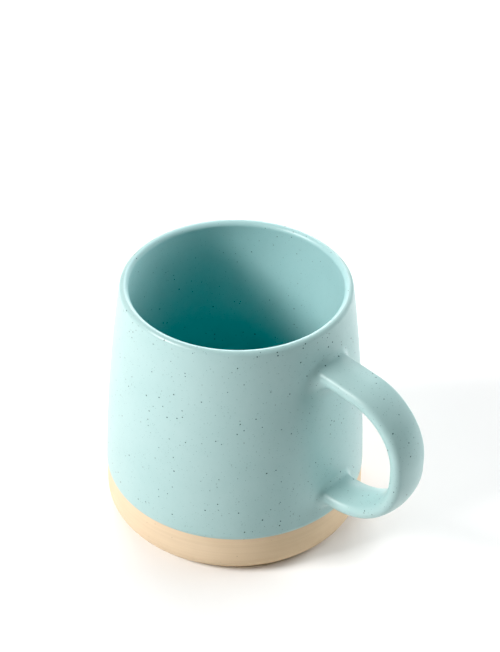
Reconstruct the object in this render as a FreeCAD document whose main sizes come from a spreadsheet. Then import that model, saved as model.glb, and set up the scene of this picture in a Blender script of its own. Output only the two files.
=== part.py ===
import FreeCAD, Part
import os
import Sketcher

# A stoneware mug: a turned clay body that narrows to a thin rounded lip, a strap handle luted on
# with clay slip at two places, and a speckled coat of glaze inside, outside and over the handle.
# The coat stops short of the foot, so the lowest band and the foot ring are bare clay.
#
# Frame: millimetres, +Z up, origin at the centre of the foot ring's resting face, handle along +X.

SIZES = (
    # name, value, what it is
    ("height", 94.5, "foot to the top of the glazed lip"),
    ("rim_radius", 41.0, "outside of the glazed lip"),
    ("lip_radius", 1.65, "rounding of the glazed lip, half its thickness"),
    ("wall_bow", 726.0, "radius of the long arc up the outside of the clay wall"),
    ("foot_radius", 40.7, "outer edge of the flat that the mug stands on"),
    ("heel_radius", 7.0, "rounding between the foot and the wall"),
    ("foot_ring_width", 4.6, "width of the flat foot ring"),
    ("recess_depth", 2.0, "hollow turned under the floor, with a 45 degree side"),
    ("floor_top", 6.5, "top of the clay floor inside"),
    ("floor_radius", 26.0, "flat part of the floor inside"),
    ("inner_heel_radius", 16.0, "rounding between the floor and the inner wall"),
    ("inner_bow", 900.0, "radius of the long arc up the inside of the clay wall"),
    ("glaze", 0.35, "thickness of the glaze coat"),
    ("glaze_line", 16.9, "height of the lower edge of the outside coat"),
    ("slip", 0.5, "thickness of the slip between the handle's ends and the wall"),
    ("join_radius", 2.0, "glazed rounding where the handle meets the wall"),
    ("bite", 0.05, "depth at which a rounding's edge runs under the surface that it meets"),
    ("grip_x", 77.1, "from the mug's axis to the middle of the upright grip"),
    ("strap_width", 15.6, "width of the glazed handle"),
    ("strap_thickness", 6.8, "thickness of the glazed handle at its middle"),
    ("strap_edge", 2.6, "rounding of the glazed handle's two edges"),
    ("arm_start", 38.9, "from the axis to the buried end of each arm, inside the wall"),
    ("upper_arm_z", 80.1, "height of the upper arm's buried end"),
    ("upper_droop", 8.0, "fall of the upper arm on its way out, in degrees"),
    ("upper_bend", 22.5, "radius of the upper bend, at the strap's middle"),
    ("lower_arm_z", 29.0, "height of the lower arm's buried end"),
    ("lower_droop", 9.0, "fall of the lower arm on its way out, in degrees"),
    ("lower_bend", 24.3, "radius of the lower bend, at the strap's middle"),
)

doc = FreeCAD.newDocument("mug")
sizes = doc.addObject("Spreadsheet::Sheet", "sizes")
for row, (alias, value, meaning) in enumerate(SIZES, start=1):
    sizes.set(f"A{row}", alias)
    sizes.set(f"B{row}", str(value))
    sizes.set(f"C{row}", meaning)
    sizes.setAlias(f"B{row}", alias)
doc.recompute()

AXIS_X = -1
AXIS_Z = -2
START = 1
END = 2
CENTRE = 3
SAME_PLACE = 0.01
V = FreeCAD.Vector


def size(alias):
    """The value of one driving dimension."""
    return float(sizes.get(alias))


def new_body(name):
    """A PartDesign body, which holds one piece's sketches and features."""
    return doc.addObject("PartDesign::Body", name)


def new_sketch(body, plane, name):
    """A sketch on one of its own body's origin planes. On XZ_Plane it draws X across and Z up."""
    sketch = body.newObject("Sketcher::SketchObject", name)
    origin_plane = next(f for f in body.Origin.OriginFeatures if f.Role == plane)
    sketch.AttachmentSupport = (origin_plane, [""])
    sketch.MapMode = "FlatFace"
    return sketch


def line(sketch, x0, z0, x1, z1):
    """A straight line, drawn near where the constraints will put it."""
    return sketch.addGeometry(Part.LineSegment(V(x0, z0, 0), V(x1, z1, 0)), False)


def arc(sketch, x, z, radius, from_deg, to_deg, construction=False):
    """An arc drawn anticlockwise, near where the constraints will put it."""
    circle = Part.Circle(V(x, z, 0), V(0, 0, 1), radius)
    angles = [FreeCAD.Units.Quantity(f"{a} deg").getValueAs("rad").Value for a in (from_deg, to_deg)]
    return sketch.addGeometry(Part.ArcOfCircle(circle, *angles), construction)


def fix(sketch, kind, *where):
    return sketch.addConstraint(Sketcher.Constraint(kind, *where))


def drive(sketch, kind, *where_and_expression):
    """A dimension whose value is an expression in the sheet's cells."""
    *where, expression = where_and_expression
    index = fix(sketch, kind, *where, sketch.evalExpression(expression))
    sketch.setExpression(f"Constraints[{index}]", expression)


def level(sketch, element, height=None, start_x=None, end_x=None):
    """A horizontal line, with the height and the ends that are given as expressions."""
    fix(sketch, "Horizontal", element)
    if height:
        drive(sketch, "DistanceY", AXIS_X, START, element, START, height)
    if start_x:
        drive(sketch, "DistanceX", AXIS_Z, START, element, START, start_x)
    if end_x:
        drive(sketch, "DistanceX", AXIS_Z, START, element, END, end_x)


def place_centre(sketch, element, x, z, radius):
    """The centre and the radius of an arc, as expressions."""
    drive(sketch, "DistanceX", AXIS_Z, START, element, CENTRE, x)
    drive(sketch, "DistanceY", AXIS_X, START, element, CENTRE, z)
    drive(sketch, "Radius", element, radius)


def tangent_chain(sketch, *joints):
    """Joins the end of each element smoothly to another's, as (element, end, element, end)."""
    for joint in joints:
        fix(sketch, "Tangent", *joint)


def chain(sketch, *joints):
    """Puts pairs of points together, as (element, point, element, point)."""
    for joint in joints:
        fix(sketch, "Coincident", *joint)


# Places that several outlines share, as expressions in the sheet's cells.
LIP_X = "sizes.rim_radius - sizes.lip_radius"
LIP_Z = "sizes.height - sizes.lip_radius"
CLAY_LIP = "sizes.lip_radius - sizes.glaze"


def revolve(body, sketch):
    """Turns an outline about the axis, with its seam at the back, away from the handle."""
    turned = body.newObject("PartDesign::Revolution", f"{sketch.Name}_turned")
    turned.Profile = sketch
    turned.ReferenceAxis = (sketch, ["V_Axis"])
    turned.Angle = 360.0
    turned.Midplane = True
    body.Tip = turned
    return turned


def make_clay_body():
    """Foot ring, heel, wall, lip, inside wall and floor, in one outline turned about the axis."""
    body = new_body("clay_body")
    s = new_sketch(body, "XZ_Plane", "clay_outline")
    foot = line(s, 36.4, 0, 41, 0)
    heel = arc(s, 41, 7, 7, -90, 1.5)
    wall = arc(s, -678, -12, 726, 1.7, 8.2)
    lip = arc(s, 39.35, 92.85, 1.3, 8.2, 184)
    inner_wall = arc(s, -858, 28, 900, 0.1, 4.1)
    inner_heel = arc(s, 26, 22.5, 16, -90, 0)
    floor = line(s, 26, 6.5, 0, 6.5)
    axis = line(s, 0, 6.5, 0, 2)
    ceiling = line(s, 0, 2, 34.4, 2)
    ring_side = line(s, 34.4, 2, 36.4, 0)
    level(s, foot, start_x="sizes.foot_radius - sizes.foot_ring_width", end_x="sizes.foot_radius")
    fix(s, "PointOnObject", foot, START, AXIS_X)
    tangent_chain(
        s,
        (foot, END, heel, START),
        (heel, END, wall, START),
        (wall, END, lip, START),
        (lip, END, inner_wall, END),
        (inner_wall, START, inner_heel, END),
        (inner_heel, START, floor, START),
    )
    drive(s, "Radius", heel, "sizes.heel_radius")
    drive(s, "Radius", wall, "sizes.wall_bow")
    place_centre(s, lip, LIP_X, LIP_Z, CLAY_LIP)
    drive(s, "Radius", inner_wall, "sizes.inner_bow")
    drive(s, "Radius", inner_heel, "sizes.inner_heel_radius")
    level(s, floor, height="sizes.floor_top", start_x="sizes.floor_radius")
    fix(s, "PointOnObject", floor, END, AXIS_Z)
    fix(s, "Vertical", axis)
    level(s, ceiling, height="sizes.recess_depth")
    chain(
        s,
        (floor, END, axis, START),
        (axis, END, ceiling, START),
        (ceiling, END, ring_side, START),
        (ring_side, END, foot, START),
    )
    drive(s, "Angle", foot, START, ring_side, END, "135 deg")
    revolve(body, s)
    return body


def add_wall(body, grown_by):
    """The mug's outside as a full solid, its clay wall grown outwards by an expression."""
    s = new_sketch(body, "XZ_Plane", f"{body.Name}_outline")
    base = line(s, 0, 0, 41, 0)
    heel = arc(s, 41, 7, 7, -90, 1.5)
    wall = arc(s, -678, -12, 726, 1.7, 8.2)
    lip = arc(s, 39.35, 92.85, 1.3, 8.2, 90)
    top = line(s, 39.35, 94.15, 0, 94.15)
    axis = line(s, 0, 94.15, 0, 0)
    fix(s, "Horizontal", base)
    fix(s, "Horizontal", top)
    chain(s, (base, START, axis, END), (top, END, axis, START))
    fix(s, "PointOnObject", base, START, AXIS_Z)
    fix(s, "Vertical", axis)
    tangent_chain(
        s,
        (base, END, heel, START),
        (heel, END, wall, START),
        (wall, END, lip, START),
        (lip, END, top, START),
    )
    place_centre(s, heel, "sizes.foot_radius", "sizes.heel_radius", f"sizes.heel_radius + ({grown_by})")
    drive(s, "Radius", wall, f"sizes.wall_bow + ({grown_by})")
    place_centre(s, lip, LIP_X, LIP_Z, f"{CLAY_LIP} + ({grown_by})")
    return revolve(body, s)


def make_outside_coat():
    """The glaze on the wall, from its rounded lower edge up to the crest of the lip."""
    body = new_body("outside_coat")
    s = new_sketch(body, "XZ_Plane", "outside_coat_outline")
    heel = arc(s, 41, 7, 7, -90, 1.5, construction=True)
    hidden_wall = arc(s, -678, -12, 726, 1.5, 2.2, construction=True)
    clay_wall = arc(s, -678, -12, 726, 2.2, 8.2)
    clay_lip = arc(s, 39.35, 92.85, 1.3, 8.2, 90)
    crest = line(s, 39.35, 94.15, 39.35, 94.5)
    lip = arc(s, 39.35, 92.85, 1.65, 8.2, 90)
    wall = arc(s, -678, -12, 726.35, 2.25, 8.2)
    edge = arc(s, 47.7, 17.25, 0.35, -90, 0)
    place_centre(s, heel, "sizes.foot_radius", "sizes.heel_radius", "sizes.heel_radius")
    fix(s, "Vertical", heel, START, heel, CENTRE)
    tangent_chain(
        s,
        (heel, END, hidden_wall, START),
        (clay_wall, END, clay_lip, START),
        (wall, END, lip, START),
        (edge, END, wall, START),
    )
    chain(
        s,
        (hidden_wall, END, clay_wall, START),
        (hidden_wall, CENTRE, clay_wall, CENTRE),
        (clay_wall, CENTRE, wall, CENTRE),
        (clay_lip, CENTRE, lip, CENTRE),
        (clay_lip, END, crest, START),
        (lip, END, crest, END),
        (edge, START, clay_wall, START),
    )
    drive(s, "Radius", clay_wall, "sizes.wall_bow")
    drive(s, "Radius", edge, "sizes.glaze")
    drive(s, "DistanceY", AXIS_X, START, clay_wall, START, "sizes.glaze_line")
    place_centre(s, clay_lip, LIP_X, LIP_Z, CLAY_LIP)
    drive(s, "Radius", lip, "sizes.lip_radius")
    fix(s, "Vertical", clay_lip, CENTRE, clay_lip, END)
    fix(s, "Vertical", crest)
    revolve(body, s)
    return body


def make_inside_glaze():
    """The liner glaze, from the crest of the lip down the inside wall and over the floor."""
    body = new_body("inside_glaze")
    s = new_sketch(body, "XZ_Plane", "liner_outline")
    crest = line(s, 39.35, 94.15, 39.35, 94.5)
    lip = arc(s, 39.35, 92.85, 1.65, 90, 184)
    wall = arc(s, -858, 28, 899.65, 0.1, 4.1)
    heel = arc(s, 26, 22.5, 15.65, -90, 0)
    floor = line(s, 26, 6.85, 0, 6.85)
    axis = line(s, 0, 6.85, 0, 6.5)
    clay_floor = line(s, 0, 6.5, 26, 6.5)
    clay_heel = arc(s, 26, 22.5, 16, -90, 0)
    clay_wall = arc(s, -858, 28, 900, 0.1, 4.1)
    clay_lip = arc(s, 39.35, 92.85, 1.3, 90, 184)
    fix(s, "Vertical", crest)
    fix(s, "Vertical", axis)
    tangent_chain(
        s,
        (lip, END, wall, END),
        (wall, START, heel, END),
        (heel, START, floor, START),
        (clay_lip, END, clay_wall, END),
        (clay_wall, START, clay_heel, END),
        (clay_heel, START, clay_floor, END),
    )
    chain(
        s,
        (crest, END, lip, START),
        (crest, START, clay_lip, START),
        (floor, END, axis, START),
        (axis, END, clay_floor, START),
        (clay_lip, CENTRE, lip, CENTRE),
        (clay_wall, CENTRE, wall, CENTRE),
        (clay_heel, CENTRE, heel, CENTRE),
    )
    place_centre(s, clay_lip, LIP_X, LIP_Z, CLAY_LIP)
    fix(s, "Vertical", clay_lip, CENTRE, clay_lip, START)
    drive(s, "Radius", lip, "sizes.lip_radius")
    drive(s, "Radius", clay_wall, "sizes.inner_bow")
    drive(s, "Radius", clay_heel, "sizes.inner_heel_radius")
    level(s, clay_floor, height="sizes.floor_top", end_x="sizes.floor_radius")
    fix(s, "PointOnObject", clay_floor, START, AXIS_Z)
    fix(s, "Horizontal", floor)
    revolve(body, s)
    return body


def add_strap(body, less):
    """The handle as a bar bent to its path, thinner all round by an expression, its ends buried."""
    path = new_sketch(body, "XZ_Plane", f"{body.Name}_path")
    upper_arm = line(path, 38.9, 80.8, 57, 78.4)
    upper_bend = arc(path, 54.6, 56.3, 22.5, 0, 82)
    grip = line(path, 77.1, 56.3, 77.1, 52)
    lower_bend = arc(path, 52.8, 52, 24.3, -99, 0)
    lower_arm = line(path, 49, 28, 38.9, 29.4)
    tangent_chain(
        path,
        (upper_arm, END, upper_bend, END),
        (upper_bend, START, grip, START),
        (grip, END, lower_bend, END),
        (lower_bend, START, lower_arm, START),
    )
    fix(path, "Vertical", grip)
    for arm, end, height in (
        (upper_arm, START, "sizes.upper_arm_z"),
        (lower_arm, END, "sizes.lower_arm_z"),
    ):
        drive(path, "DistanceX", AXIS_Z, START, arm, end, "sizes.arm_start")
        drive(path, "DistanceY", AXIS_X, START, arm, end, height)
    drive(path, "Radius", upper_bend, "sizes.upper_bend")
    drive(path, "Radius", lower_bend, "sizes.lower_bend")
    drive(path, "DistanceX", AXIS_Z, START, grip, START, "sizes.grip_x")
    drive(path, "Angle", AXIS_X, START, upper_arm, START, "-sizes.upper_droop * 1 deg")
    drive(path, "Angle", lower_arm, END, AXIS_X, START, "sizes.lower_droop * 1 deg")

    # The section stands square to the upper arm: two gently crowned faces and two rounded edges.
    section = new_sketch(body, "YZ_Plane", f"{body.Name}_section")
    section.setExpression("AttachmentOffset.Base.y", "sizes.upper_arm_z")
    section.setExpression("AttachmentOffset.Base.z", "sizes.arm_start")
    section.AttachmentOffset = FreeCAD.Placement(V(0, 0, 0), FreeCAD.Rotation(V(1, 0, 0), 1))
    section.setExpression("AttachmentOffset.Rotation.Angle", "sizes.upper_droop * 1 deg")
    top = arc(section, 0, -16, 19.4, 72, 108)
    left = arc(section, -5.2, 0, 2.4, 108, 252)
    bottom = arc(section, 0, 16, 19.4, 252, 288)
    right = arc(section, 5.2, 0, 2.4, 288, 432)
    tangent_chain(
        section,
        (top, END, left, START),
        (left, END, bottom, START),
        (bottom, END, right, START),
        (right, END, top, START),
    )
    fix(section, "PointOnObject", left, CENTRE, AXIS_X)
    fix(section, "PointOnObject", right, CENTRE, AXIS_X)
    fix(section, "PointOnObject", top, CENTRE, AXIS_Z)
    fix(section, "Equal", left, right)
    fix(section, "Equal", top, bottom)
    drive(section, "Radius", right, f"sizes.strap_edge - ({less})")
    drive(
        section, "DistanceX", left, CENTRE, right, CENTRE, "sizes.strap_width - 2 * sizes.strap_edge"
    )
    crown = f"(sizes.strap_thickness / 2 - ({less}))"
    half_span = "(sizes.strap_width / 2 - sizes.strap_edge)"
    edge = f"(sizes.strap_edge - ({less}))"
    drive(
        section,
        "Radius",
        top,
        f"({half_span}^2 + {crown}^2 - {edge}^2) / (2 * ({crown} - {edge}))",
    )
    bar = body.newObject("PartDesign::AdditivePipe", f"{body.Name}_bar")
    bar.Profile = section
    bar.Spine = (path, ["Edge1", "Edge2", "Edge3", "Edge4", "Edge5"])
    body.Tip = bar
    return bar


def make_wall(name, grown_by):
    """A body that holds only the wall's full solid."""
    body = new_body(name)
    add_wall(body, grown_by)
    return body


def make_joined(name, grown_by, less, radius):
    """Wall and strap as one solid, with a rounding of the given radius all round both joins."""
    body = new_body(name)
    wall = add_wall(body, grown_by)
    bar = add_strap(body, less)
    doc.recompute()
    wall_surface = wall.Shape.Shells[0]
    seams = []
    for index, edge in enumerate(bar.Shape.Edges, start=1):
        middle = Part.Vertex(edge.valueAt((edge.FirstParameter + edge.LastParameter) / 2))
        on_wall = wall_surface.distToShape(middle)[0] < SAME_PLACE
        if on_wall and edge.CenterOfMass.x > size("arm_start"):
            seams.append(f"Edge{index}")
    rounding = body.newObject("PartDesign::Fillet", f"{name}_rounding")
    rounding.Base = (bar, seams)
    rounding.setExpression("Radius", radius)
    body.Tip = rounding
    return body


def cut(name, base, *tools):
    """What is left of one solid when the others are taken out of it, one after another."""
    for count, tool in enumerate(tools, start=1):
        step = doc.addObject("Part::Cut", name if count == len(tools) else f"{name}_step_{count}")
        step.Base = base
        step.Tool = tool
        base = step
    return base


def keep_half(name, base, lower_edge):
    """The solids of the base that stand between a height and half the mug's height above it."""
    box = doc.addObject("Part::Box", f"{name}_region")
    box.setExpression("Length", "sizes.height")
    box.setExpression("Width", "sizes.height")
    box.setExpression("Height", "sizes.height / 2")
    box.setExpression("Placement.Base.y", "-sizes.height / 2")
    box.setExpression("Placement.Base.z", lower_edge)
    half = doc.addObject("Part::Common", name)
    half.Base = base
    half.Tool = box
    return half


wall_clay = make_wall("wall_clay", "0")
wall_slip = make_wall("wall_slip", "sizes.slip")
wall_glazed = make_wall("wall_glazed", "sizes.glaze")
strap_clay = new_body("strap_clay")
add_strap(strap_clay, "sizes.glaze")
joined_clay = make_joined(
    "joined_clay", "-sizes.bite", "sizes.glaze + sizes.bite", "sizes.join_radius + sizes.glaze"
)
joined_glazed = make_joined("joined_glazed", "sizes.glaze - sizes.bite", "0", "sizes.join_radius")

# The handle's ends stop short of the wall, and the slip fills that gap and rounds each corner.
clay_handle = cut("clay_handle", strap_clay, wall_slip)
slip_joints = cut("slip_joints", joined_clay, wall_clay, clay_handle)

parts = [
    make_clay_body(),
    clay_handle,
    keep_half("upper_slip_joint", slip_joints, "sizes.height / 2"),
    keep_half("lower_slip_joint", slip_joints, "0"),
    cut("outside_glaze", make_outside_coat(), slip_joints),
    make_inside_glaze(),
    cut("handle_glaze", joined_glazed, wall_glazed, clay_handle, slip_joints),
]
doc.recompute()

for thing in doc.Objects:
    if "Invalid" in thing.State or "Error" in thing.State:
        raise RuntimeError(f"{thing.Name} failed: {thing.State}")
for part in parts:
    part.Label = part.Name
    if part.Shape.isNull() or not part.Shape.isValid() or len(part.Shape.Solids) != 1:
        raise RuntimeError(f"{part.Name} is not one valid solid")
    print(part.Name, round(part.Shape.Volume, 1), "cubic mm")

os.makedirs("parts", exist_ok=True)
for part in parts:
    part.Shape.exportStep(f"parts/{part.Name}.step")
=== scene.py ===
import math

import bmesh
import bpy
import numpy as np
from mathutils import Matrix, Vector


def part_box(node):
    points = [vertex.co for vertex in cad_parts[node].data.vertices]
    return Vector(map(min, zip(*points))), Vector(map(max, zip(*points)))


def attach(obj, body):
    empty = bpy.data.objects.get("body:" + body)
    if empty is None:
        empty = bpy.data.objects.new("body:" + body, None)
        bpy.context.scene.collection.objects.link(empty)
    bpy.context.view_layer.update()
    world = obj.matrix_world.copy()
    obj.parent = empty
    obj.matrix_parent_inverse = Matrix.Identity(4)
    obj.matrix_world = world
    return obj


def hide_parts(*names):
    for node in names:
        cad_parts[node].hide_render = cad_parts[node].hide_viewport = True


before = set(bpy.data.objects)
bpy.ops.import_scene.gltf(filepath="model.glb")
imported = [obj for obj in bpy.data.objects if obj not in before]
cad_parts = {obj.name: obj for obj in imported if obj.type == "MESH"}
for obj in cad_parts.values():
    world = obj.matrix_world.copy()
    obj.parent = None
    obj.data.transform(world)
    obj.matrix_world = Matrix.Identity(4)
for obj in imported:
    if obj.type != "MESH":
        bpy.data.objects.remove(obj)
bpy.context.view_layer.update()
mm = 0.001


# ---------------------------------------------------------------------------------------------
# Clay body. Buff stoneware turned in one piece: a flat foot ring round a shallow recess, a rounded
# heel, a long bowed wall that narrows to a thin rounded lip, and a level floor inside.
# Its lowest band is left bare, and the trimming tool's fine rings show there.
# ---------------------------------------------------------------------------------------------

clay_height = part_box("clay_body")[1].z
coated_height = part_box("inside_glaze")[1].z
glaze = coated_height - clay_height
glaze_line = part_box("outside_glaze")[0].z

rim_radius = 41.0 * mm
lip_radius = 1.65 * mm
foot_radius = 40.7 * mm
heel_radius = 7.0 * mm
wall_bow = 726.0 * mm
foot_ring_width = 4.6 * mm
recess_depth = 2.0 * mm
ring_edge_radius = 0.7 * mm
recess_corner_radius = 1.4 * mm
floor_top = 6.5 * mm
floor_radius = 26.0 * mm
inner_heel_radius = 16.0 * mm
inner_bow = 900.0 * mm

lip_centre = (rim_radius - lip_radius, coated_height - lip_radius)
heel_centre = (foot_radius, heel_radius)
inner_heel_centre = (floor_radius, floor_top + inner_heel_radius)
clay_lip_radius = lip_radius - glaze


def bow_centre(first, first_reach, second, second_reach):
    """The centre of a long arc: the point at the given reaches from two places, beyond the axis."""
    across = math.dist(first, second)
    along = (first_reach**2 - second_reach**2 + across**2) / (2 * across)
    off = math.sqrt(first_reach**2 - along**2)
    ux, uz = (second[0] - first[0]) / across, (second[1] - first[1]) / across
    return (first[0] + along * ux - off * uz, first[1] + along * uz + off * ux)


def heading(start, end):
    """The angle of the way from one place of an outline to another."""
    return math.atan2(end[1] - start[1], end[0] - start[0])


def arc(centre, radius, start, end, step):
    """Points of an outline along an arc, about a step apart, with both of its ends."""
    count = max(3, round(abs(end - start) * radius / step) + 1)
    angles = np.linspace(start, end, count)
    return [(centre[0] + radius * math.cos(a), centre[1] + radius * math.sin(a)) for a in angles]


def eased(before, corner, after, radius, step):
    """A corner of an outline between two straight runs, rounded off to a radius."""
    here = Vector(corner)
    back = (Vector(before) - here).normalized()
    on = (Vector(after) - here).normalized()
    half = back.angle(on) / 2
    centre = here + (back + on).normalized() * (radius / math.sin(half))
    leave = here + back * (radius / math.tan(half))
    arrive = here + on * (radius / math.tan(half))
    first = heading(centre, leave)
    turn = (heading(centre, arrive) - first + math.pi) % (2 * math.pi) - math.pi
    return arc(centre, radius, first, first + turn, step)


def outline(*runs):
    """Joins runs of points into one outline, leaving out the points that two runs share."""
    points = [runs[0][0]]
    for run in runs:
        points += [p for p in run if math.dist(p, points[-1]) > 1e-6]
    return points


def level_run(start, end, height, step):
    """Points of an outline along a level line, about a step apart."""
    count = max(2, round(abs(end - start) / step) + 1)
    return [(x, height) for x in np.linspace(start, end, count)]


wall_centre = bow_centre(
    heel_centre, wall_bow - heel_radius, lip_centre, wall_bow - clay_lip_radius
)
inner_wall_centre = bow_centre(
    inner_heel_centre, inner_bow - inner_heel_radius, lip_centre, inner_bow + clay_lip_radius
)
wall_foot_angle = heading(wall_centre, heel_centre)
wall_lip_angle = heading(wall_centre, lip_centre)
inner_foot_angle = heading(inner_wall_centre, inner_heel_centre)
inner_lip_angle = heading(inner_wall_centre, lip_centre)

sway_depth = 0.045 * mm
ring_depth = 0.006 * mm
rings_start = 0.8 * mm
heel_fade = 2.0 * mm
line_fade = 0.6 * mm


def sway(around, height):
    """The slight unevenness of a wall pressed and dried by hand, in metres outwards."""
    slow = np.sin(2 * around + 0.6) * np.cos(height / (31 * mm) + 0.4)
    quick = 0.5 * np.sin(3 * around + height / (19 * mm))
    quickest = 0.25 * np.sin(5 * around - height / (11 * mm))
    return sway_depth * (slow + quick + quickest)


def trimming_rings(height):
    """Fine rings on the bare band, which fade out at the heel and under the coat."""
    above_heel = np.clip((height - rings_start) / heel_fade, 0, 1)
    below_line = np.clip((glaze_line - height) / line_fade, 0, 1)
    coarse = 0.8 * np.sin(height / (0.41 * mm) + 2.0)
    middling = 0.5 * np.sin(height / (0.16 * mm))
    fine = 0.4 * np.sin(height / (0.093 * mm) + 1.0)
    return ring_depth * above_heel * below_line * (coarse + middling + fine)


def put(name, points, faces):
    """A smooth mesh piece made from its points and faces."""
    mesh = bpy.data.meshes.new(name)
    mesh.from_pydata(points, [], faces)
    skin = bmesh.new()
    skin.from_mesh(mesh)
    bmesh.ops.recalc_face_normals(skin, faces=skin.faces)
    skin.to_mesh(mesh)
    skin.free()
    mesh.shade_smooth()
    piece = bpy.data.objects.new(name, mesh)
    bpy.context.scene.collection.objects.link(piece)
    return piece


# Nearer the axis than this, the unevenness fades out, so the middles of the floors stay flat.
steady_radius = 30 * mm


def ring_faces(first, second, turns):
    """The faces between two rings of points, given by the number of each ring's first point."""
    return [
        (first + k, first + (k + 1) % turns, second + (k + 1) % turns, second + k) for k in range(turns)
    ]


def turned(name, profile, turns, rings=None):
    """A closed skin turned about the axis. A profile that doesn't reach the axis closes on itself."""
    on_axis = profile[0][0] < 1e-7
    ring_rows = profile[1:-1] if on_axis else profile
    radii = np.array([p[0] for p in ring_rows])[:, None]
    heights = np.array([p[1] for p in ring_rows])[:, None]
    around = np.linspace(0, 2 * math.pi, turns, endpoint=False)[None, :]
    grown = radii + sway(around, heights) * np.clip(radii / steady_radius, 0, 1)
    if rings:
        grown = grown + rings(heights) * (radii > foot_radius)
    grid = np.stack([grown * np.cos(around), grown * np.sin(around), heights + 0 * around], axis=-1)
    points = [tuple(p) for p in grid.reshape(-1, 3)]
    count = len(ring_rows)
    faces = []
    for row in range(count - 1 if on_axis else count):
        faces += ring_faces(row * turns, (row + 1) % count * turns, turns)
    if on_axis:
        for pole, first in ((profile[0], 0), (profile[-1], (count - 1) * turns)):
            points.append((0.0, 0.0, pole[1]))
            faces += [(first + k, first + (k + 1) % turns, len(points) - 1) for k in range(turns)]
    return put(name, points, faces)


ring_inner = foot_radius - foot_ring_width
recess_edge = ring_inner - recess_depth
clay_turns = 240
clay_profile = outline(
    level_run(0, recess_edge - 2 * recess_corner_radius, recess_depth, 3 * mm),
    eased((0, recess_depth), (recess_edge, recess_depth), (ring_inner, 0), recess_corner_radius, 0.2 * mm),
    eased((recess_edge, recess_depth), (ring_inner, 0), (foot_radius, 0), ring_edge_radius, 0.12 * mm),
    level_run(ring_inner + 2 * ring_edge_radius, foot_radius, 0, 0.8 * mm),
    arc(heel_centre, heel_radius, -math.pi / 2, wall_foot_angle, 0.3 * mm),
    [p for p in arc(wall_centre, wall_bow, wall_foot_angle, wall_lip_angle, 0.1 * mm) if p[1] < glaze_line],
    [p for p in arc(wall_centre, wall_bow, wall_foot_angle, wall_lip_angle, 2 * mm) if p[1] > glaze_line],
    arc(lip_centre, clay_lip_radius, wall_lip_angle, inner_lip_angle + math.pi, 0.2 * mm),
    arc(inner_wall_centre, inner_bow, inner_lip_angle, inner_foot_angle, 2 * mm),
    arc(inner_heel_centre, inner_heel_radius, inner_foot_angle, -math.pi / 2, 1 * mm),
    level_run(floor_radius, 0, floor_top, 3 * mm),
)
clay_body = turned("clay_body_turned", clay_profile, clay_turns, trimming_rings)
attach(clay_body, "root")
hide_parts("clay_body")


class Wire:
    """A socket that gives a number. Sums written with it add Math nodes to its finish."""

    def __init__(self, finish, socket):
        self.finish = finish
        self.socket = socket

    def sum(self, operation, *values, clamp=False):
        settings = {"operation": operation, "use_clamp": clamp}
        return self.finish.node("ShaderNodeMath", settings, dict(enumerate(values)))

    def __add__(self, other):
        return self.sum("ADD", self, other)

    def __sub__(self, other):
        return self.sum("SUBTRACT", self, other)

    def __mul__(self, other):
        return self.sum("MULTIPLY", self, other)

    def __truediv__(self, other):
        return self.sum("DIVIDE", self, other)

    def __radd__(self, other):
        return self.sum("ADD", other, self)

    def __rsub__(self, other):
        return self.sum("SUBTRACT", other, self)

    def __rmul__(self, other):
        return self.sum("MULTIPLY", other, self)

    def __rtruediv__(self, other):
        return self.sum("DIVIDE", other, self)

    def clamped(self):
        """Held between 0 and 1."""
        return self.sum("ADD", self, 0.0, clamp=True)

    def rising(self, low, high):
        """0 below the low value, 1 above the high one."""
        return ((self - low) / (high - low)).clamped()


class Finish:
    """A material, its nodes and its one shader."""

    def __init__(self, name):
        self.material = bpy.data.materials.new(name)
        self.material.use_nodes = True
        self.tree = self.material.node_tree
        self.shader = next(n for n in self.tree.nodes if n.type == "BSDF_PRINCIPLED")

    def node(self, kind, settings=None, sockets=None, output=0):
        """Adds a node: its settings first, then the values or links of its sockets."""
        node = self.tree.nodes.new(kind)
        for name, value in (settings or {}).items():
            setattr(node, name, value)
        for name, value in (sockets or {}).items():
            self.feed(node.inputs[name], value)
        return Wire(self, node.outputs[output])

    def feed(self, socket, value):
        """Gives a socket its value, or links it."""
        if isinstance(value, Wire):
            self.tree.links.new(value.socket, socket)
        else:
            socket.default_value = value

    def place(self):
        """Where a point of the piece is, in millimetres, the same for every piece of the mug."""
        where = self.node("ShaderNodeTexCoord", output="Object")
        return self.node("ShaderNodeVectorMath", {"operation": "SCALE"}, {0: where, "Scale": 1 / mm})

    def part(self, vector, axis):
        """One of a vector's three numbers."""
        return self.node("ShaderNodeSeparateXYZ", sockets={0: vector}, output=axis)

    def stretched(self, vector, x, y, z):
        """A place scaled along each axis, so that noise read there is stretched the other way."""
        return self.node("ShaderNodeVectorMath", {"operation": "MULTIPLY"}, {0: vector, 1: (x, y, z)})

    def noise(self, vector, size, detail=2.0, roughness=0.5):
        """Soft noise from 0 to 1 with its coarsest features about the given size, in millimetres."""
        sockets = {"Vector": vector, "Scale": 1 / size, "Detail": detail, "Roughness": roughness}
        return self.node("ShaderNodeTexNoise", {}, sockets)

    def tint(self, share, base, other):
        """A colour that goes from the base to the other as the share goes from 0 to 1."""
        settings = {"data_type": "RGBA", "clamp_factor": True}
        return self.node("ShaderNodeMix", settings, {0: share, 6: base, 7: other}, output=2)

    def finish_with(self, **sockets):
        """Feeds the shader's sockets, named with _ for each space."""
        for name, value in sockets.items():
            self.feed(self.shader.inputs[name.replace("_", " ")], value)

    def roughen(self, height, depth):
        """Relief for light only: a height from 0 to 1 and its depth in metres."""
        relief = self.node("ShaderNodeBump", {}, {"Strength": 1.0, "Distance": depth, "Height": height})
        self.feed(self.shader.inputs["Normal"], relief)


clay_light = (0.755, 0.61, 0.445, 1)
clay_deep = (0.675, 0.535, 0.38, 1)
clay_sand = (0.76, 0.65, 0.50, 1)
clay_shade = (0.50, 0.39, 0.26, 1)
clay_iron = (0.20, 0.14, 0.09, 1)
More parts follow.
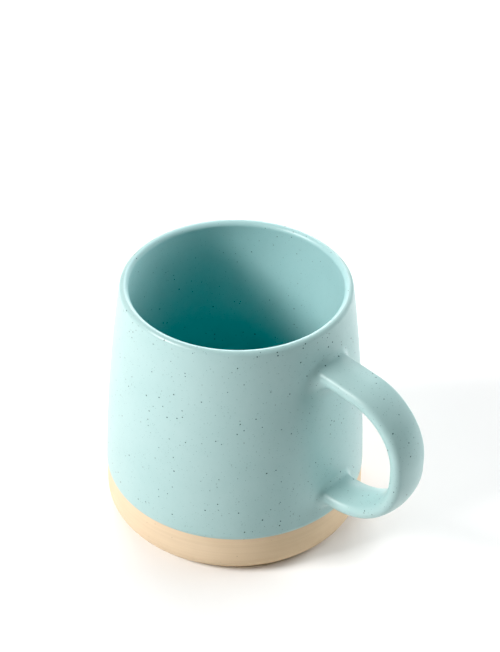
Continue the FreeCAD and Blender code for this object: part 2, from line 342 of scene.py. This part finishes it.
# Sizes inside a finish are in millimetres.
blotch_size = 14.0
band_size = 1.1
sand_size = 0.35
grain_size = 0.12
iron_spacing = 2.4
iron_reach = 0.09
iron_edge = 0.04
clay_relief = 0.03 * mm


def bare_clay_finish(name):
    """Fired buff stoneware: sandy and matt, with faint turning bands, fine grog and a few iron grains."""
    clay = Finish(name)
    where = clay.place()
    bands = clay.noise(clay.stretched(where, 0.02, 0.02, 1.0), band_size, 3.0)
    lines = clay.noise(clay.stretched(where, 0.05, 0.05, 4.0), 1.0, 2.0)
    blotch = clay.noise(where, blotch_size, 2.0)
    sand = clay.noise(where, sand_size, 2.0, 0.7)
    grain = clay.noise(where, grain_size, 1.0)
    colour = clay.tint(bands.rising(0.3, 0.7) * 0.5 + blotch.rising(0.3, 0.7) * 0.3, clay_light, clay_deep)
    colour = clay.tint(sand.rising(0.55, 0.8) * 0.35, colour, clay_sand)
    colour = clay.tint(lines.rising(0.6, 0.75) * 0.15, colour, clay_shade)
    spread = {"Vector": where, "Scale": 1 / iron_spacing}
    grains = clay.node("ShaderNodeTexVoronoi", {}, spread, output="Distance")
    rare = clay.noise(where, 3.0, 1.0)
    iron = (iron_reach - grains) / iron_edge
    colour = clay.tint(iron.clamped() * rare.rising(0.5, 0.6) * 0.5, colour, clay_iron)
    clay.finish_with(Base_Color=colour, Roughness=0.78 + 0.14 * grain)
    clay.shader.inputs["Specular IOR Level"].default_value = 0.25
    clay.roughen(sand * 0.6 + grain * 0.3 + lines * 0.5, clay_relief)
    return clay.material


bare_clay = bare_clay_finish("bare_stoneware")
clay_body.data.materials.append(bare_clay)


# ---------------------------------------------------------------------------------------------
# Handle core and slip. The handle is a strap of the same clay, luted to the wall at both ends with
# slip that is smoothed into a rounded corner. All three lie wholly under the glaze.
# ---------------------------------------------------------------------------------------------

slip_finish = bare_clay_finish("fired_slip")
for node, finish in (
    ("clay_handle", bare_clay),
    ("upper_slip_joint", slip_finish),
    ("lower_slip_joint", slip_finish),
):
    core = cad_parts[node]
    core.data.materials.clear()
    core.data.materials.append(finish)


# ---------------------------------------------------------------------------------------------
# Outside coat. Satin turquoise glaze, sprayed from the crest of the lip down to a masked line
# above the foot, where it thins out to nothing. Dark specks of iron show through it.
# ---------------------------------------------------------------------------------------------

outside_bow = wall_bow + glaze
edge_angle = math.asin((glaze_line - wall_centre[1]) / wall_bow)
edge_taper = 1.5 * mm
full_angle = edge_angle + edge_taper / wall_bow


def thin_edge(angle):
    """A place on the coat's thinning edge, from the masked line up to its full thickness."""
    share = (angle - edge_angle) / (full_angle - edge_angle)
    reach = wall_bow + glaze * math.sin(share * math.pi / 2)
    return (wall_centre[0] + reach * math.cos(angle), wall_centre[1] + reach * math.sin(angle))


outside_profile = outline(
    [thin_edge(angle) for angle in np.linspace(edge_angle, full_angle, 13)],
    arc(wall_centre, outside_bow, full_angle, wall_lip_angle, 1 * mm),
    arc(lip_centre, lip_radius, wall_lip_angle, math.pi / 2, 0.12 * mm),
    arc(lip_centre, clay_lip_radius, math.pi / 2, wall_lip_angle, 0.3 * mm),
    arc(wall_centre, wall_bow, wall_lip_angle, edge_angle, 3 * mm)[:-1],
)
coat_turns = 320
outside_coat = turned("outside_coat", outside_profile, coat_turns)
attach(outside_coat, "root")
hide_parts("outside_glaze")

glaze_main = (0.415, 0.580, 0.577, 1)
glaze_deep = (0.380, 0.552, 0.549, 1)
speck_dark = (0.035, 0.075, 0.085, 1)
speck_soft = (0.12, 0.25, 0.26, 1)
large_spacing = 1.9
large_radius = 0.36
small_spacing = 0.9
small_radius = 0.2
cloud_size = 22.0
mottle_size = 2.2
crowd_size = 11.0
skin_size = 1.3
glaze_relief = 0.012 * mm


def specks(finish, where, spacing, largest, share):
    """Round grains scattered through the coat. Those whose heart lies off the surface show smaller."""
    grains = {"Vector": where, "Scale": 1 / spacing}
    reach = finish.node("ShaderNodeTexVoronoi", {}, grains, output="Distance") * spacing
    chance = finish.part(finish.node("ShaderNodeTexVoronoi", {}, grains, output="Color"), 0)
    luck = chance.rising(1 - share, 1)
    radius = largest * (luck * 0.6 + (luck * 50).clamped() * 0.4)
    return ((radius - reach) / (0.35 * largest)).clamped()


def glaze_finish(name, main=glaze_main, deep=glaze_deep, grain=1.0):
    """Satin glaze: even turquoise, faintly clouded, with iron specks."""
    coat = Finish(name)
    where = coat.place()
    cloud = coat.noise(where, cloud_size, 2.0)
    mottle = coat.noise(where, mottle_size, 2.0)
    ragged = {"Vector": where, "Scale": 2.2, "Detail": 1.0}
    shake = coat.node("ShaderNodeTexNoise", {}, ragged, output="Color")
    nudge = coat.node("ShaderNodeVectorMath", {"operation": "SCALE"}, {0: shake, "Scale": 0.25})
    shaken = coat.node("ShaderNodeVectorMath", {"operation": "ADD"}, {0: where, 1: nudge})
    crowd = coat.noise(where, crowd_size, 1.0).rising(0.38, 0.62)
    large = specks(coat, shaken, large_spacing, large_radius * grain, 0.2 + 0.7 * crowd)
    small = specks(coat, shaken, small_spacing, small_radius * grain, 0.5 + 0.45 * crowd)
    colour = coat.tint(cloud.rising(0.3, 0.7) * 0.6 + mottle.rising(0.3, 0.7) * 0.25, main, deep)
    colour = coat.tint(small * 0.6, colour, speck_soft)
    colour = coat.tint(large * 0.92, colour, speck_dark)
    coat.finish_with(Base_Color=colour, Roughness=0.31 + 0.08 * mottle)
    coat.shader.inputs["IOR"].default_value = 1.5
    skin = coat.noise(where, skin_size, 2.0)
    coat.roughen(skin * 0.7 + cloud * 0.5 - large * 0.5, glaze_relief)
    return coat.material


outside_coat.data.materials.append(glaze_finish("turquoise_glaze_outside"))


# ---------------------------------------------------------------------------------------------
# Liner coat. The same glaze poured inside: from the crest of the lip, down the inner wall, round
# the inner heel and over the floor. It meets the outside coat along the lip's crest. Its colours
# are a lighter copy of the outside glaze's: painted light that brightens the inside wall.
# ---------------------------------------------------------------------------------------------

liner_profile = outline(
    level_run(0, floor_radius, floor_top + glaze, 2 * mm),
    arc(inner_heel_centre, inner_heel_radius - glaze, -math.pi / 2, inner_foot_angle, 0.8 * mm),
    arc(inner_wall_centre, inner_bow - glaze, inner_foot_angle, inner_lip_angle, 1 * mm),
    arc(lip_centre, lip_radius, inner_lip_angle + math.pi, math.pi / 2, 0.12 * mm),
    arc(lip_centre, clay_lip_radius, math.pi / 2, inner_lip_angle + math.pi, 0.3 * mm),
    arc(inner_wall_centre, inner_bow, inner_lip_angle, inner_foot_angle, 3 * mm),
    arc(inner_heel_centre, inner_heel_radius, inner_foot_angle, -math.pi / 2, 1.5 * mm),
    level_run(floor_radius, 0, floor_top, 4 * mm),
)
liner_coat = turned("liner_coat", liner_profile, coat_turns)
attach(liner_coat, "root")
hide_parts("inside_glaze")
# Lighter than the outside glaze's colours: painted light on the inside wall.
liner_brightened_main = (0.455, 0.662, 0.669, 1)
liner_brightened_deep = (0.420, 0.634, 0.641, 1)
liner_grain = 0.75
liner_brightened_finish = glaze_finish("turquoise_glaze_inside_brightened", liner_brightened_main, liner_brightened_deep, liner_grain)
liner_coat.data.materials.append(liner_brightened_finish)


# ---------------------------------------------------------------------------------------------
# Handle coat. The glaze over the strap handle: an upper arm that leaves the wall a little below
# the lip, two wide bends with a short upright grip between, and a lower arm. At both ends it
# flows out over the slip's rounded corner and onto the wall without a seam.
# ---------------------------------------------------------------------------------------------

strap_width = 15.6 * mm
strap_thickness = 6.8 * mm
strap_edge = 2.6 * mm
tight_join = 2.1 * mm
upper_wide_join = 7.0 * mm
lower_wide_join = 4.0 * mm
grip_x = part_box("handle_glaze")[1].x - strap_thickness / 2
arm_start = 38.9 * mm
upper_arm_z = 80.1 * mm
lower_arm_z = 29.0 * mm
upper_bend = 22.5 * mm
lower_bend = 24.3 * mm
upper_slant = math.radians(90 - 8)
lower_slant = math.radians(-90 - 9)


def facing_out(slant):
    """The way out of the handle's loop, across the strap, as X and Z."""
    return Vector((math.cos(slant), math.sin(slant)))


def running_on(slant):
    """The way along the strap, from its upper end to its lower one, as X and Z."""
    return Vector((math.sin(slant), -math.cos(slant)))


def bend_centre(arm, slant, radius):
    """The centre of the bend between an arm's line and the upright grip's line."""
    level = arm - facing_out(slant) * radius
    way = running_on(slant)
    return level + way * ((grip_x - radius - level.x) / way.x)


def on_bend(centre, radius, slant):
    """The slant and the middle of the strap on a bend."""
    return slant, centre + facing_out(slant) * radius


def on_lower_arm(along):
    """The slant and the middle of the strap on the lower arm, which runs in towards the wall."""
    return lower_slant, lower_arm + running_on(lower_slant) * (along - lower_arm_length)


upper_arm = Vector((arm_start, upper_arm_z))
lower_arm = Vector((arm_start, lower_arm_z))
upper_centre = bend_centre(upper_arm, upper_slant, upper_bend)
lower_centre = bend_centre(lower_arm, lower_slant, lower_bend)
upper_arm_length = (upper_centre - upper_arm).dot(running_on(upper_slant))
lower_arm_length = (lower_arm - lower_centre).dot(running_on(lower_slant))
stretches = (
    (upper_arm_length, lambda s: (upper_slant, upper_arm + running_on(upper_slant) * s)),
    (upper_bend * upper_slant, lambda s: on_bend(upper_centre, upper_bend, upper_slant - s / upper_bend)),
    (upper_centre.y - lower_centre.y, lambda s: (0.0, Vector((grip_x, upper_centre.y - s)))),
    (-lower_bend * lower_slant, lambda s: on_bend(lower_centre, lower_bend, -s / lower_bend)),
    (lower_arm_length, on_lower_arm),
)
strap_length = sum(length for length, _ in stretches)


def strap_frame(along):
    """The slant and the middle of the strap at a distance along it."""
    for length, place in stretches[:-1]:
        if along < length:
            return place(along)
        along -= length
    return stretches[-1][1](along)


def strap_section():
    """The strap's outline round its middle, across and out: two crowned faces and two rounded edges."""
    half = strap_thickness / 2
    reach = strap_width / 2 - strap_edge
    crown = (reach**2 + half**2 - strap_edge**2) / (2 * (half - strap_edge))
    lean = math.asin(reach / (crown - strap_edge))
    face = arc((0, half - crown), crown, math.pi / 2 - lean, math.pi / 2 + lean, 0.5 * mm)
    side = arc((-reach, 0), strap_edge, math.pi / 2 + lean, 1.5 * math.pi - lean, 0.35 * mm)
    one_half = outline(face, side)[:-1]
    return one_half + [(-across, -out) for across, out in one_half]


section = strap_section()


def strap_point(along, k):
    """Point k of the strap's outline at a distance along it."""
    slant, middle = strap_frame(along)
    across, out = section[k]
    place = middle + facing_out(slant) * out
    return Vector((place.x, across, place.y))


def strap_facing(along, k):
    """The way that the strap's surface faces, from the run of the section on both sides of a place."""
    slant, _ = strap_frame(along)
    before, after = section[k - 1], section[(k + 1) % len(section)]
    out = facing_out(slant) * (before[0] - after[0])
    return Vector((out.x, after[1] - before[1], out.y)).normalized()


def outside_radius(height):
    """How far the outside coat's surface is from the axis."""
    return wall_centre[0] + math.sqrt(outside_bow**2 - (height - wall_centre[1]) ** 2)


def unrolled(point):
    """A place near the outside coat as round it, up it and off it, in metres."""
    turn = math.atan2(point.y, point.x)
    off = math.hypot(point.x, point.y) - outside_radius(point.z) - sway(turn, point.z)
    return Vector((turn * rim_radius, point.z, off))


def rolled(flat):
    """The reverse: back to a place in the mug's frame."""
    turn = flat.x / rim_radius
    out = outside_radius(flat.y) + sway(turn, flat.y) + flat.z
    return Vector((out * math.cos(turn), out * math.sin(turn), flat.y))


# Past the rounding, the coat's edge runs on along the wall and then dips under its surface.
hem = ((0.5 * mm, -0.004 * mm), (1.1 * mm, -0.05 * mm), (1.9 * mm, -0.4 * mm))
flare_steps = np.linspace(0, 1, 13)
deepest_search = 20 * mm
search_halvings = 40
feel_along = 0.4 * mm
feel_out = 0.2 * mm
feel_back = 0.1 * mm
strap_rows = 120


def join_line(end, way, wide_join, k):
    """One line of a join, from its hem on the wall to the strap, and where on the strap it stops."""
    inside, outside = 0.0, deepest_search
    for _ in range(search_halvings):
        middle = (inside + outside) / 2
        buried = unrolled(strap_point(end + way * middle, k)).z < 0
        inside, outside = (middle, outside) if buried else (inside, middle)
    meeting = end + way * outside
    corner = unrolled(strap_point(meeting, k))
    rise = unrolled(strap_point(meeting + way * feel_along, k)) - corner
    spread = unrolled(rolled(corner) + strap_facing(meeting, k) * feel_out) - corner
    spread.z = 0
    spread.normalize()
    opening = rise.angle(spread)
    radius = tight_join + (wide_join - tight_join) * (1 - strap_facing(meeting, k).z) / 2
    leg = radius / math.tan(opening / 2)
    pull = radius * 4 / 3 * math.tan((math.pi - opening) / 4)
    stop = meeting + way * leg
    top = unrolled(strap_point(stop, k))
    back = (unrolled(strap_point(stop - way * feel_back, k)) - top).normalized()
    landing = corner + spread * leg
    line = [rolled(landing + spread * out + Vector((0, 0, depth))) for out, depth in reversed(hem)]
    for t in flare_steps:
        share = ((1 - t) ** 3, 3 * t * (1 - t) ** 2, 3 * t**2 * (1 - t), t**3)
        pulls = (landing, landing - spread * pull, top + back * pull, top)
        line.append(rolled(sum((p * w for p, w in zip(pulls, share)), Vector((0, 0, 0)))))
    return line, stop


def handle_skin():
    """The coat's outer surface as rows of points round the strap, from the upper join to the lower."""
    lines = []
    for k in range(len(section)):
        upper_line, first = join_line(0.0, 1, upper_wide_join, k)
        lower_line, last = join_line(strap_length, -1, lower_wide_join, k)
        between = [strap_point(s, k) for s in np.linspace(first, last, strap_rows)[1:-1]]
        lines.append(upper_line + between + lower_line[::-1])
    return np.array(lines).transpose(1, 0, 2)


def shell(name, outer, thickness):
    """A closed coat of even thickness under a skin whose rows run round it and whose ends are open."""
    along = np.gradient(outer, axis=0)
    across = np.roll(outer, -1, axis=1) - np.roll(outer, 1, axis=1)
    facing = np.cross(across, along)
    facing /= np.linalg.norm(facing, axis=2)[..., None]
    middle = outer.mean(axis=1)[:, None, :]
    rows_between = outer.shape[0] // 2
    if np.sum((outer - middle)[rows_between] * facing[rows_between]) < 0:
        facing = -facing
    grid = np.concatenate([outer, (outer - facing * thickness)[::-1]])
    rows, turns = grid.shape[:2]
    faces = []
    for row in range(rows):
        faces += ring_faces(row * turns, (row + 1) % rows * turns, turns)
    return put(name, [tuple(p) for p in grid.reshape(-1, 3)], faces)


handle_coat = shell("handle_coat", handle_skin(), glaze)
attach(handle_coat, "root")
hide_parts("handle_glaze")
handle_coat.data.materials.append(glaze_finish("turquoise_glaze_handle"))


# ---------------------------------------------------------------------------------------------
# Studio. A plain pale floor, a key light high on the left, a thin light on the far right edge, and
# wide soft ones that fill the shade and stay out of the gloss. The camera looks down past the rim,
# with the handle to its right.
# ---------------------------------------------------------------------------------------------

floor_reach = 3.0
floor_mesh = bpy.data.meshes.new("studio_floor")
floor_corners = [(floor_reach * x, floor_reach * y, 0) for x, y in ((-1, -1), (1, -1), (1, 1), (-1, 1))]
floor_mesh.from_pydata(floor_corners, [], [(0, 1, 2, 3)])
studio_floor = bpy.data.objects.new("studio_floor", floor_mesh)
bpy.context.scene.collection.objects.link(studio_floor)
floor_white = (0.93, 0.93, 0.93, 1)
floor_finish = Finish("pale_floor")
floor_finish.finish_with(Base_Color=floor_white, Roughness=0.8)
floor_mesh.materials.append(floor_finish.material)

camera_data = bpy.data.cameras.new("camera")
camera_data.sensor_width = 36.0
camera_data.lens = 92.49
camera = bpy.data.objects.new("camera", camera_data)
bpy.context.scene.collection.objects.link(camera)
bpy.context.scene.camera = camera
camera.location = (0.3121, -0.3590, 0.4298)
aim = Vector((0.0037, 0.0032, 0.0755))
camera_tilt = math.radians(0.97)
look = (aim - camera.location).to_track_quat("-Z", "Y")
camera.rotation_euler = look.to_euler()
camera.rotation_euler.rotate_axis("Z", camera_tilt)

warm = (1.0, 0.985, 0.97)
neutral = (1.0, 1.0, 1.0)
light_aim = Vector((0, 0, 0.05))


def softbox(name, azimuth, elevation, distance, size, power, colour, glossy=True):
    """A square area light that faces the mug. Its azimuth is counted from +X, in degrees."""
    data = bpy.data.lights.new(name, "AREA")
    data.shape = "SQUARE"
    data.size = size
    data.energy = power
    data.color = colour
    lamp = bpy.data.objects.new(name, data)
    bpy.context.scene.collection.objects.link(lamp)
    turn, rise = math.radians(azimuth), math.radians(elevation)
    lamp.visible_camera = False
    lamp.visible_glossy = glossy
    lamp.location = distance * Vector(
        (math.cos(rise) * math.cos(turn), math.cos(rise) * math.sin(turn), math.sin(rise))
    )
    lamp.rotation_euler = (light_aim - lamp.location).to_track_quat("-Z", "Y").to_euler()


softbox("key_left", -121, 36, 1.2, 0.36, 12.1, warm)
softbox("front_left", -100, 33, 1.2, 0.6, 3.1, warm)
softbox("back_edge", 127, 24, 1.2, 0.6, 5.4, neutral)
softbox("fill_back", 147, 32, 1.2, 0.8, 7.0, neutral, glossy=False)
softbox("fill_right", 54, 28, 1.2, 0.8, 7.6, neutral, glossy=False)
softbox("low_right", 80, 14, 1.2, 0.45, 4.6, neutral, glossy=False)
softbox("top", 90, 85, 1.3, 0.9, 2.6, neutral, glossy=False)

room_light = 0.08
world = bpy.data.worlds.new("studio_light")
world.use_nodes = True
world.node_tree.nodes["Background"].inputs["Color"].default_value = (1, 1, 1, 1)
world.node_tree.nodes["Background"].inputs["Strength"].default_value = room_light
bpy.context.scene.world = world

# The tones: no film curve, and blacks a little deeper than the light alone would give.
black_level = 0.073
view = bpy.context.scene.view_settings
view.view_transform = "Standard"
view.use_curve_mapping = True
view.curve_mapping.black_level = (black_level, black_level, black_level)
view.curve_mapping.update()
